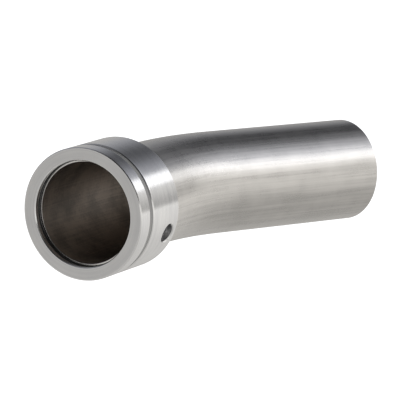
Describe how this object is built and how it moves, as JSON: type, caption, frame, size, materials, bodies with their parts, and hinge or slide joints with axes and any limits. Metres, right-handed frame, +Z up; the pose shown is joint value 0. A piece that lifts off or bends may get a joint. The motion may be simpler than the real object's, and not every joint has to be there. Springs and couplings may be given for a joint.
{
  "type": "flue elbow",
  "caption": "Bent steel flue tube with a turned front ring, a mouth seal and a swivel ring with radial locking holes.",
  "frame": {"origin": "centre of the collar's front face, in the plane of the mouth", "axes": "+Y along the collar's axis into the elbow, +X towards the side that the tube bends to, +Z up"},
  "size_m": [0.1149, 0.243, 0.075],
  "materials": {
    "tube_steel": "brushed mill finish with long faint draw marks",
    "turned_steel": "fine turned finish, bright",
    "weld_steel": "rippled weld bead with faint heat tint",
    "spring_steel": "dark spring temper",
    "slide_polymer": "matte grey filled polymer",
    "seal_rubber": "satin black rubber"
  },
  "bodies": {
    "elbow": {"elbow_tube": "tube_steel", "end_sleeve": "turned_steel", "tube_weld": "weld_steel", "mouth_seal": "seal_rubber", "front_thrust_washer": "slide_polymer", "rear_thrust_washer": "slide_polymer", "retaining_ring": "spring_steel"},
    "swivel": {"swivel_ring": "turned_steel", "slide_bush": "slide_polymer"}
  },
  "joints": [
    {"name": "ring_swivel", "type": "hinge", "parent": "elbow", "child": "swivel", "pos_m": [0, 0.028, 0], "axis": [0, 1, 0], "continuous": true}
  ]
}
